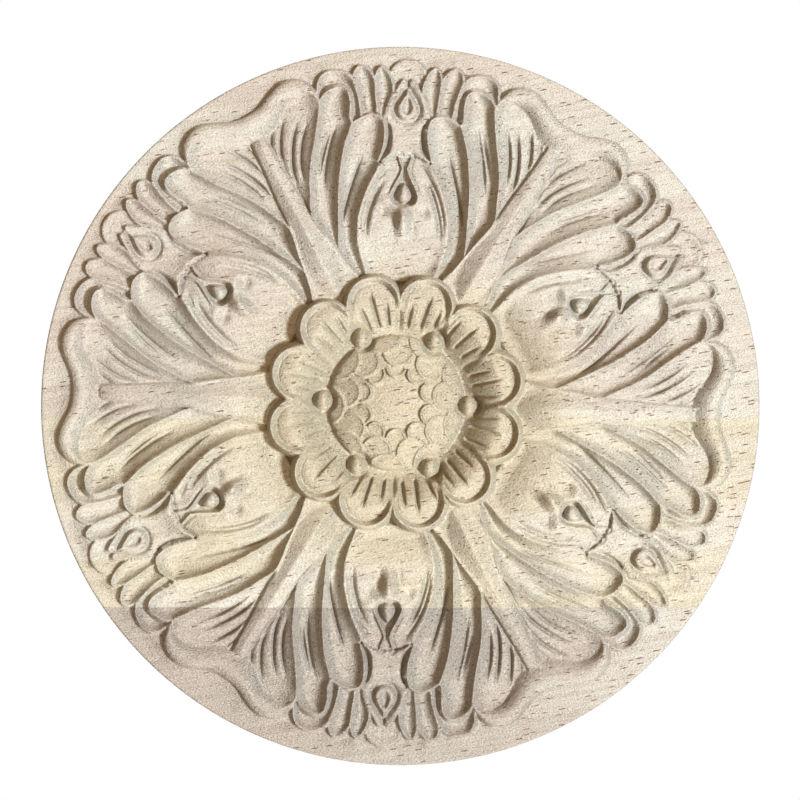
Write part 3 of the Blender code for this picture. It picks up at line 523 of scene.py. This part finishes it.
def flowerOver(radius, fold, height):
    surface, inward = petalSurface(radius, fold)
    within = (inward > 0.0) | (radius < rosette["petalRing"])
    walled = np.maximum(height, surface + rosette["flowerWall"] * inward)
    walled = np.where(radius < 62.0, walled, height)
    return np.where(within, surface, walled)


# Three tapered strokes cut in each petal, the middle one longest, each a little different as by hand.
def petalStrokes(radius, angle, height):
    chance = random.Random(7)
    for petal in range(2 * rosette["leafCount"]):
        for turn in rosette["petalStrokes"]:
            middle = (petal + 0.5) * sector + math.radians(turn + chance.uniform(-1.5, 1.5))
            start = rosette["strokeStart"] + chance.uniform(-0.6, 1.2)
            end = rosette["strokeEnd"] - 0.45 * abs(turn) + chance.uniform(-1.4, 1.0)
            lean = chance.uniform(-0.003, 0.003)
            away = (angle - middle - lean * (radius - 38.0) + math.pi) % math.tau - math.pi
            reach = smoothStep(radius, start, start + 2.5) * smoothStep(-radius, -end, -end + 6.0)
            stroke = np.exp(-(radius * away / rosette["strokeWidth"]) ** 2)
            height = height - rosette["strokeDepth"] * reach * stroke
    return height


# The domed boss with rows of overlapping scales, and the six beads that stand round it.
def bossOver(radius, angle, height):
    dome = rosette["bossTop"] - rosette["bossDrop"] * (radius / rosette["bossRadius"]) ** 2
    x = radius * np.cos(angle)
    y = radius * np.sin(angle)
    for inmost, arcRadius, rise, first, count in curves["scaleRows"]:
        depth = np.full(radius.shape, -100.0)
        for index in range(count):
            turn = math.radians(first + index * 360.0 / count)
            centre = inmost + arcRadius
            depth = np.maximum(depth, arcRadius - np.hypot(x - centre * math.cos(turn),
                                                            y - centre * math.sin(turn)))
        depth = np.where(radius > inmost + arcRadius, arcRadius, depth)
        scaleRim = 0.7 * np.exp(-((depth - 0.5) / 0.6) ** 2)
        dome += rise * (scaleRim + 0.6 * smoothStep(depth, -0.4, 0.3) - 0.6)
    dome -= rosette["bossWall"] * np.clip(radius - rosette["bossRadius"], 0.0, None)
    height = np.where(radius < rosette["petalRing"], smoothMax(dome, height, 0.4), height)
    for index in range(rosette["leafCount"]):
        turn = index * math.tau / rosette["leafCount"]
        beadX = rosette["beadRing"] * math.cos(turn)
        beadY = rosette["beadRing"] * math.sin(turn)
        reach = np.hypot(x - beadX, y - beadY) / rosette["beadRadius"]
        seat = smoothStep(-reach, -1.5, -0.9)
        height = height * (1.0 - seat) + rosette["beadBase"] * seat
        height += rosette["beadRise"] * np.clip(1.0 - reach ** 2, 0.0, None) ** 0.8
    return height


# Height of the carving over the ground. The angle is measured from the first leaf's axis.
def reliefHeight(radius, angle):
    fold = np.abs((angle + sector) % (2 * sector) - sector)
    x = radius * np.sin(fold)
    y = radius * np.cos(fold)
    across = radius * np.sin(sector - fold)
    along = radius * np.cos(sector - fold)
    height = leafSurface(x, y, across, along)
    return flowerOver(radius, fold, height)


# Distance from the pattern's centre to the round edge of the board, along each direction.
def discReach(angles):
    toward = rosette["patternShiftX"] * np.cos(angles) + rosette["patternShiftZ"] * np.sin(angles)
    offsetSquared = rosette["patternShiftX"] ** 2 + rosette["patternShiftZ"] ** 2
    return -toward + np.sqrt(toward ** 2 - offsetSquared + rosette["discRadius"] ** 2)


# Heights on rings round the carving's centre. One twelfth is worked out, then mirrored round.
def carvedHeights():
    radii = np.arange(1, int(rosette["patternRadius"] / rosette["ringStep"]) + 1) * rosette["ringStep"]
    turns = np.arange(rosette["sectorSteps"] + 1) * sector / rosette["sectorSteps"]
    ring, turn = np.meshgrid(radii, turns, indexing="ij")
    twelfth = reliefHeight(ring, turn)
    leaf = np.hstack([twelfth, twelfth[:, -2:0:-1]])
    heights = np.tile(leaf, (1, rosette["leafCount"]))
    angles = np.arange(heights.shape[1]) * sector / rosette["sectorSteps"]
    ring, turn = np.meshgrid(radii, angles, indexing="ij")
    return radii, bossOver(ring, turn, petalStrokes(ring, turn, heights))


def deselectAll():
    if bpy.context.mode != "OBJECT":
        bpy.ops.object.mode_set(mode="OBJECT")
    bpy.ops.object.select_all(action="DESELECT")


# Selects the points that keep() picks by their place in mm, and leaves the board in edit mode
def selectPoints(board, keep):
    bpy.ops.object.mode_set(mode="OBJECT")
    places = np.empty(len(board.data.vertices) * 3, np.float32)
    board.data.vertices.foreach_get("co", places)
    chosen = keep(places.reshape(-1, 3) / mm)
    bpy.ops.object.mode_set(mode="EDIT")
    bpy.ops.mesh.select_mode(type="VERT")
    bpy.ops.mesh.select_all(action="DESELECT")
    bpy.ops.object.mode_set(mode="OBJECT")
    board.data.vertices.foreach_set("select", chosen)
    bpy.ops.object.mode_set(mode="EDIT")


# A flat grid is wrapped round into a disc, so that its columns run from the centre to the edge and its rows
# are rings. The rows are lifted to the carving's height, and the edge is then drawn back to the wall.
def makeBoard():
    radii, heights = carvedHeights()
    around = heights.shape[1]
    ground = rosette["groundLevel"]
    # the rows outside the carving: distance in from the board's edge and drop from the ground
    border = ((2.0, 0.0), (0.9, 0.0), (0.45, 0.04), (0.15, 0.18), (0.0, rosette["frontArris"]))
    rowCount = len(radii) + len(border)

    deselectAll()
    bpy.ops.mesh.primitive_grid_add(x_subdivisions=around, y_subdivisions=rowCount - 1, size=1.0)
    board = bpy.context.active_object
    board.name = "carved_board"
    places = np.empty(len(board.data.vertices) * 3, np.float32)
    board.data.vertices.foreach_get("co", places)
    places = places.reshape(-1, 3)
    column = np.rint((places[:, 0] + 0.5) * around).astype(int) % around
    row = np.rint((places[:, 1] + 0.5) * (rowCount - 1)).astype(int)

    directions = np.arange(around) * math.tau / around + math.radians(rosette["patternTurn"])
    reach = discReach(directions)
    carved = ground + rosette["reliefDepth"] * heights
    distance = np.vstack([np.repeat(radii[:, None], around, 1)] + [reach - inset for inset, _ in border])
    level = np.vstack([carved] + [np.full(around, ground - drop) for _, drop in border])
    out, up, toward = distance[row, column], level[row, column], directions[column]
    places[:, 0] = (rosette["patternShiftX"] + out * np.cos(toward)) * mm
    places[:, 1] = -up * mm
    places[:, 2] = (rosette["patternShiftZ"] + out * np.sin(toward)) * mm
    board.data.vertices.foreach_set("co", places.reshape(-1))

    bpy.ops.object.mode_set(mode="EDIT")
    bpy.ops.mesh.select_all(action="SELECT")
    bpy.ops.mesh.remove_doubles(threshold=1e-7)

    innermost = 1.2 * rosette["ringStep"]
    selectPoints(board, lambda p: np.hypot(p[:, 0] - rosette["patternShiftX"],
                                           p[:, 2] - rosette["patternShiftZ"]) < innermost)
    bpy.ops.mesh.edge_face_add()

    edgeRadius = rosette["discRadius"] - 0.05
    selectPoints(board, lambda p: np.hypot(p[:, 0], p[:, 2]) > edgeRadius)
    backRim = rosette["backArris"]
    drawBack = (ground - rosette["frontArris"] - backRim) * mm
    bpy.ops.mesh.extrude_region_move(TRANSFORM_OT_translate={"value": (0, drawBack, 0)})
    bpy.ops.mesh.extrude_region_move(TRANSFORM_OT_translate={"value": (0, backRim * mm, 0)})
    shrink = 1.0 - backRim / rosette["discRadius"]
    bpy.ops.transform.resize(value=(shrink, 1.0, shrink), center_override=(0.0, 0.0, 0.0))
    bpy.ops.mesh.edge_face_add()
    bpy.ops.mesh.select_all(action="SELECT")
    bpy.ops.mesh.normals_make_consistent(inside=False)
    bpy.ops.object.mode_set(mode="OBJECT")
    print("board blank:", len(board.data.polygons), "faces")
    return board


# The carving is thinned, and the round edge keeps all its points
def thinBoard(board):
    count = len(board.data.vertices)
    places = np.empty(count * 3, np.float32)
    board.data.vertices.foreach_get("co", places)
    places = places.reshape(-1, 3) / mm
    inner = np.flatnonzero(np.hypot(places[:, 0], places[:, 2]) < rosette["discRadius"] - 3.0)
    carving = board.vertex_groups.new(name="carving")
    carving.add(inner.tolist(), 1.0, "REPLACE")
    thinning = board.modifiers.new("fewer faces", "DECIMATE")
    thinning.vertex_group = carving.name
    triangles = sum(len(face.vertices) - 2 for face in board.data.polygons)
    thinning.ratio = rosette["keptTriangles"] / triangles
    deselectAll()
    board.select_set(True)
    bpy.context.view_layer.objects.active = board
    bpy.ops.object.modifier_apply(modifier=thinning.name)
    board.vertex_groups.clear()
    bpy.ops.object.shade_smooth()
    print("carving:", len(board.data.polygons), "faces")


# What a user would change about the wood. Lengths are in mm.
wood = {
    "cream": "#DFDCCB",
    "pink": "#D9CFBE",
    "yellow": "#DFD5B4",
    "warm": "#D6CAA6",
    "lowerBoardAndShade": "#A69A8C",           # the lowest board's greyer tint, darkened further by painted shade, most toward the left
    "pore": "#8E6A4C",
    "grainAndFibreShade": "#8C7A62",
    # colour of the growth lines, and of the painted shade between the raised fibres
    "fibreHighlight": "#F8F5EB",
    # painted highlight on the tops of the raised fibres
    "joints": (-84.0, -5.0),      # heights of the glued joints between the boards
    "mottle": 24.0,               # size of the pale and dark patches along the grain
    "yellowStrength": 0.8,        # how strongly the middle board's own tint shows
    "warmReach": (35.0, 75.0),    # the warmer patch fades out between these distances from the middle
    "warmStrength": 0.75,
    "grainTilt": 9.0,             # degrees, rising to the right
    "lineSpacing": 1.6,           # growth lines
    "lineStrength": 0.22,
    "poreLength": 8.0,            # room for each pore, drawn about twice as coarse as real so that they show
    "poreSpacing": 1.4,
    "poreStrength": 0.95,
    "poreDepth": 0.25,
    "poreCrowding": 0.12,         # how much more of them there are toward the right
    "fuzz": 0.45,                 # size of the raised fibres, drawn a little coarse so that they show
    "fuzzOnFlats": 0.5,
    "fuzzOnSlopes": 2.1,
    "cutterMarks": 0.3,
    "roughness": 0.78,
}


def linear(hexColour):
    parts = [int(hexColour[i:i + 2], 16) / 255 for i in (1, 3, 5)]
    return [c / 12.92 if c <= 0.04045 else ((c + 0.055) / 1.055) ** 2.4 for c in parts] + [1.0]


# Adds a node with its settings and links, and gives the output asked for. An input is named, or numbered as
# in i0, and is a value or another node's output.
def addNode(tree, kind, output=None, settings=None, **inputs):
    node = tree.nodes.new(kind)
    for name, value in (settings or {}).items():
        setattr(node, name, value)
    for name, value in inputs.items():
        socket = node.inputs[int(name[1:])] if name[0] == "i" and name[1:].isdigit() else node.inputs[name]
        if isinstance(value, bpy.types.NodeSocket):
            tree.links.new(value, socket)
        else:
            socket.default_value = value
    return node if output is None else node.outputs[output]


# Raw rubberwood, milled from edge-glued boards and left unfinished: pale cream with pinkish and yellowish
# boards, short dark pores along the grain and a dull, slightly fuzzy surface.
def rawRubberwood():
    material = bpy.data.materials.new("raw rubberwood")
    material.use_nodes = True
    tree = material.node_tree
    tree.nodes.clear()
    divide = {"operation": "DIVIDE"}
    multiply = {"operation": "MULTIPLY"}
    smooth = {"interpolation_type": "SMOOTHSTEP"}
    mixColours = {"data_type": "RGBA"}
    multiplyColours = {"data_type": "RGBA", "blend_type": "MULTIPLY"}

    # in mm, with X along the grain
    place = addNode(tree, "ShaderNodeTexCoord", "Object")
    grainPlace = addNode(tree, "ShaderNodeMapping", 0, {"vector_type": "TEXTURE"}, i0=place,
                         Rotation=(0.0, -math.radians(wood["grainTilt"]), 0.0), Scale=(mm, mm, mm))
    sideways = addNode(tree, "ShaderNodeSeparateXYZ", 0, i0=grainPlace)
    height = addNode(tree, "ShaderNodeSeparateXYZ", 2, i0=place)

    # tints of the boards, mottled along the grain
    mottle = wood["mottle"]
    patchPlace = addNode(tree, "ShaderNodeVectorMath", 0, divide, i0=grainPlace,
                         i1=(3 * mottle, mottle, mottle))
    patches = addNode(tree, "ShaderNodeTexNoise", "Fac", Vector=patchPlace, Scale=1.0, Detail=3.0,
                      Roughness=0.6)
    pinkShare = addNode(tree, "ShaderNodeMapRange", 0, smooth, i0=patches, i1=0.35, i2=0.65)
    colour = addNode(tree, "ShaderNodeMix", 2, mixColours, i0=pinkShare, i6=linear(wood["cream"]),
                     i7=linear(wood["pink"]))
    creamShare = addNode(tree, "ShaderNodeMapRange", 0, smooth, i0=patches, i1=0.3, i2=0.7)
    yellowed = addNode(tree, "ShaderNodeMix", 2, mixColours, i0=creamShare, i6=linear(wood["yellow"]),
                       i7=linear(wood["cream"]))

    # the middle board is yellower, and the lowest one greyer and darker with painted shade, most toward the
    # left
    lowJoint, highJoint = (joint * mm for joint in wood["joints"])
    overLow = addNode(tree, "ShaderNodeMath", 0, {"operation": "GREATER_THAN"}, i0=height, i1=lowJoint)
    underHigh = addNode(tree, "ShaderNodeMath", 0, {"operation": "LESS_THAN"}, i0=height, i1=highJoint)
    middleBoard = addNode(tree, "ShaderNodeMath", 0, multiply, i0=overLow, i1=underHigh)
    middleShare = addNode(tree, "ShaderNodeMath", 0, multiply, i0=middleBoard, i1=wood["yellowStrength"])
    colour = addNode(tree, "ShaderNodeMix", 2, mixColours, i0=middleShare, i6=colour, i7=yellowed)
    # painted shade: below the low joint the colour is pulled toward a darker grey, more strongly toward the
    # left, for light that falls off toward the lower left, on top of the board's own tint
    lowBoardAndShadeMask = addNode(tree, "ShaderNodeMath", 0, {"operation": "LESS_THAN"}, i0=height, i1=lowJoint)
    shadeTowardLeft = addNode(tree, "ShaderNodeMapRange", 0, smooth, i0=sideways, i1=0.0, i2=110.0, i3=0.6,
                         i4=0.15)
    lowBoardAndShadeShare = addNode(tree, "ShaderNodeMath", 0, multiply, i0=lowBoardAndShadeMask, i1=shadeTowardLeft)
    colour = addNode(tree, "ShaderNodeMix", 2, mixColours, i0=lowBoardAndShadeShare, i6=colour,
                     i7=linear(wood["lowerBoardAndShade"]))

    # a warmer patch round the flower
    patchPlace = addNode(tree, "ShaderNodeVectorMath", 0, divide, i0=grainPlace, i1=(1.3, 1.0, 1.0))
    fromMiddle = addNode(tree, "ShaderNodeVectorMath", "Value", {"operation": "LENGTH"}, i0=patchPlace)
    fullReach, noReach = wood["warmReach"]
    warmShare = addNode(tree, "ShaderNodeMapRange", 0, smooth, i0=fromMiddle, i1=fullReach, i2=noReach,
                        i3=wood["warmStrength"], i4=0.0)
    colour = addNode(tree, "ShaderNodeMix", 2, mixColours, i0=warmShare, i6=colour, i7=linear(wood["warm"]))

    # growth lines along the grain
    spacing = wood["lineSpacing"]
    linePlace = addNode(tree, "ShaderNodeVectorMath", 0, divide, i0=grainPlace, i1=(60.0, spacing, spacing))
    lines = addNode(tree, "ShaderNodeTexNoise", "Fac", Vector=linePlace, Scale=1.0, Detail=4.0,
                    Roughness=0.65)
    lineShare = addNode(tree, "ShaderNodeMapRange", 0, smooth, i0=lines, i1=0.35, i2=0.7, i3=0.0,
                        i4=wood["lineStrength"])
    colour = addNode(tree, "ShaderNodeMix", 2, multiplyColours, i0=lineShare, i6=colour,
                     i7=linear(wood["grainAndFibreShade"]))

    # pores: cut vessels, long along the grain and thin across it, in zones and more of them toward the right
    spacing = wood["poreSpacing"]
    porePlace = addNode(tree, "ShaderNodeVectorMath", 0, divide, i0=grainPlace,
                        i1=(wood["poreLength"], spacing, spacing))
    poreCells = addNode(tree, "ShaderNodeTexVoronoi", "Distance", {"feature": "F1"}, Vector=porePlace,
                        Scale=1.0, Randomness=1.0)
    poreDarkness = addNode(tree, "ShaderNodeMapRange", 0, smooth, i0=poreCells, i1=0.12, i2=0.26, i3=1.0,
                           i4=0.0)
    zonePlace = addNode(tree, "ShaderNodeVectorMath", 0, divide, i0=grainPlace, i1=(16.0, 5.0, 5.0))
    zones = addNode(tree, "ShaderNodeTexNoise", "Fac", Vector=zonePlace, Scale=1.0, Detail=2.0, Roughness=0.5)
    crowding = addNode(tree, "ShaderNodeMath", 0, multiply, i0=sideways,
                       i1=wood["poreCrowding"] / rosette["discRadius"])
    crowded = addNode(tree, "ShaderNodeMath", 0, {"operation": "ADD"}, i0=zones, i1=crowding)
    poreZones = addNode(tree, "ShaderNodeMapRange", 0, smooth, i0=crowded, i1=0.38, i2=0.54)
    pores = addNode(tree, "ShaderNodeMath", 0, multiply, i0=poreDarkness, i1=poreZones)
    poreShare = addNode(tree, "ShaderNodeMath", 0, multiply, i0=pores, i1=wood["poreStrength"])
    colour = addNode(tree, "ShaderNodeMix", 2, mixColours, i0=poreShare, i6=colour, i7=linear(wood["pore"]))

    # raised fibres, rougher where the cut runs across the grain
    normal = addNode(tree, "ShaderNodeNewGeometry", "Normal")
    normalAlong = addNode(tree, "ShaderNodeSeparateXYZ", 0, i0=normal)
    acrossGrain = addNode(tree, "ShaderNodeMath", 0, {"operation": "ABSOLUTE"}, i0=normalAlong)
    size = wood["fuzz"]
    fuzzPlace = addNode(tree, "ShaderNodeVectorMath", 0, divide, i0=grainPlace, i1=(1.8 * size, size, size))
    fuzz = addNode(tree, "ShaderNodeTexNoise", "Fac", Vector=fuzzPlace, Scale=1.0, Detail=2.0, Roughness=0.6)
    fuzzRise = addNode(tree, "ShaderNodeMapRange", 0, smooth, i0=acrossGrain, i1=0.0, i2=0.6,
                       i3=wood["fuzzOnFlats"], i4=wood["fuzzOnSlopes"])
    fuzzHeight = addNode(tree, "ShaderNodeMath", 0, multiply, i0=fuzz, i1=fuzzRise)

    # the cutter's fine marks, and the pores as small hollows
    markPlace = addNode(tree, "ShaderNodeVectorMath", 0, divide, i0=grainPlace, i1=(7.0, 1.8, 1.8))
    marks = addNode(tree, "ShaderNodeTexNoise", "Fac", Vector=markPlace, Scale=1.0, Detail=2.0, Roughness=0.5)
    markHeight = addNode(tree, "ShaderNodeMath", 0, multiply, i0=marks, i1=wood["cutterMarks"])
    texture = addNode(tree, "ShaderNodeMath", 0, {"operation": "ADD"}, i0=fuzzHeight, i1=markHeight)
    hollows = addNode(tree, "ShaderNodeMath", 0, multiply, i0=pores, i1=wood["poreDepth"])
    texture = addNode(tree, "ShaderNodeMath", 0, {"operation": "SUBTRACT"}, i0=texture, i1=hollows)
    bumps = addNode(tree, "ShaderNodeBump", 0, Strength=1.0, Distance=mm, Height=texture)

    # painted shade and painted highlight on the raised fibres, following the fuzz that bumps them
    shade = addNode(tree, "ShaderNodeMapRange", 0, smooth, i0=fuzz, i1=0.3, i2=0.48, i3=0.5, i4=0.0)
    colour = addNode(tree, "ShaderNodeMix", 2, multiplyColours, i0=shade, i6=colour, i7=linear(wood["grainAndFibreShade"]))
    shine = addNode(tree, "ShaderNodeMapRange", 0, smooth, i0=fuzz, i1=0.52, i2=0.7, i3=0.0, i4=0.5)
    colour = addNode(tree, "ShaderNodeMix", 2, mixColours, i0=shine, i6=colour, i7=linear(wood["fibreHighlight"]))

    shader = addNode(tree, "ShaderNodeBsdfPrincipled", 0, i0=colour, Normal=bumps,
                     Roughness=wood["roughness"], Metallic=0.0, IOR=1.5)
    addNode(tree, "ShaderNodeOutputMaterial", Surface=shader)
    return material


# The room: a small pale floor far below, a white surround, one soft lamp from the right, and one behind
# and above for the back and the floor
studio = {
    "surround": "#FFFFFF",
    "surroundStrength": 0.40,
    "fill": "#FFD6A8",
    "lampColour": "#EDF4FF",
    "lampPower": 592.0,        # W
    "lampSize": 1.05,          # m
    "lampDistance": 6.0,
    "lampTurn": -13.4,         # degrees from the right, seen from the front
    "lampRise": 40.0,          # degrees out of the plane of the board
    "backLampPlace": (-1.4, 2.6, 2.4),
    "backLampPower": 160.0,
    "backLampSize": 1.6,
    "floorDrop": 0.45,
    "imageSize": 800,
    "imageCentre": (400.3, 406.0),   # px, the middle of the board
    "imageRadius": 359.3,            # px, its radius
    "cameraDistance": 1.6,
    "sensorWidth": 36.0,
    "floorRadius": 0.8,
    "floorColour": "#F4F2EE",
    "floorRoughness": 0.9,
}


def makeStudio():
    world = bpy.data.worlds.new("white surround")
    bpy.context.scene.world = world
    world.use_nodes = True
    # white behind the board, and a weaker, warmer light from all round on it
    tree = world.node_tree
    tree.nodes.clear()
    seen = addNode(tree, "ShaderNodeBackground", 0, Color=linear(studio["surround"]), Strength=1.0)
    fill = addNode(tree, "ShaderNodeBackground", 0, Color=linear(studio["fill"]),
                   Strength=studio["surroundStrength"])
    toCamera = addNode(tree, "ShaderNodeLightPath", "Is Camera Ray")
    mixed = addNode(tree, "ShaderNodeMixShader", 0, i0=toCamera, i1=fill, i2=seen)
    addNode(tree, "ShaderNodeOutputWorld", Surface=mixed)

    deselectAll()
    bpy.ops.mesh.primitive_circle_add(vertices=96, radius=studio["floorRadius"], fill_type="NGON",
                                      location=(0.0, 0.0, -studio["floorDrop"]))
    floor = bpy.context.active_object
    floor.name = "floor"
    pale = bpy.data.materials.new("pale floor")
    pale.use_nodes = True
    shader = pale.node_tree.nodes["Principled BSDF"]
    shader.inputs["Base Color"].default_value = linear(studio["floorColour"])
    shader.inputs["Roughness"].default_value = studio["floorRoughness"]
    floor.data.materials.append(pale)

    rise, turn = math.radians(studio["lampRise"]), math.radians(studio["lampTurn"])
    direction = Vector((math.cos(rise) * math.cos(turn), -math.sin(rise), math.cos(rise) * math.sin(turn)))
    backPlace = Vector(studio["backLampPlace"])
    lamps = (("soft_lamp", direction * studio["lampDistance"], studio["lampPower"], studio["lampSize"]),
             ("back_lamp", backPlace, studio["backLampPower"], studio["backLampSize"]))
    for name, place, power, size in lamps:
        deselectAll()
        bpy.ops.object.light_add(type="AREA", location=place)
        lamp = bpy.context.active_object
        lamp.name = name
        lamp.rotation_euler = place.to_track_quat("Z", "Y").to_euler()
        lamp.data.energy = power
        lamp.data.color = linear(studio["lampColour"])[:3]
        lamp.data.size = size

    # straight on, with the board as large and as far off the middle as in the picture
    perPixel = rosette["discRadius"] * mm / studio["imageRadius"]
    middle = studio["imageSize"] / 2
    aimX = (middle - studio["imageCentre"][0]) * perPixel
    aimZ = (studio["imageCentre"][1] - middle) * perPixel
    bpy.ops.object.camera_add(location=(aimX, -studio["cameraDistance"], aimZ),
                              rotation=(math.radians(90), 0.0, 0.0))
    camera = bpy.context.active_object
    camera.data.sensor_width = studio["sensorWidth"]
    depth = studio["cameraDistance"] - rosette["groundLevel"] * mm
    camera.data.lens = camera.data.sensor_width * depth / (studio["imageSize"] * perPixel)
    bpy.context.scene.camera = camera
    bpy.context.scene.view_settings.view_transform = "Standard"


print("carving the board")
board = makeBoard()
thinBoard(board)
board.data.materials.clear()
board.data.materials.append(rawRubberwood())
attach(board, "root")
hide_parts("carved_rosette")

print("setting up the room")
makeStudio()
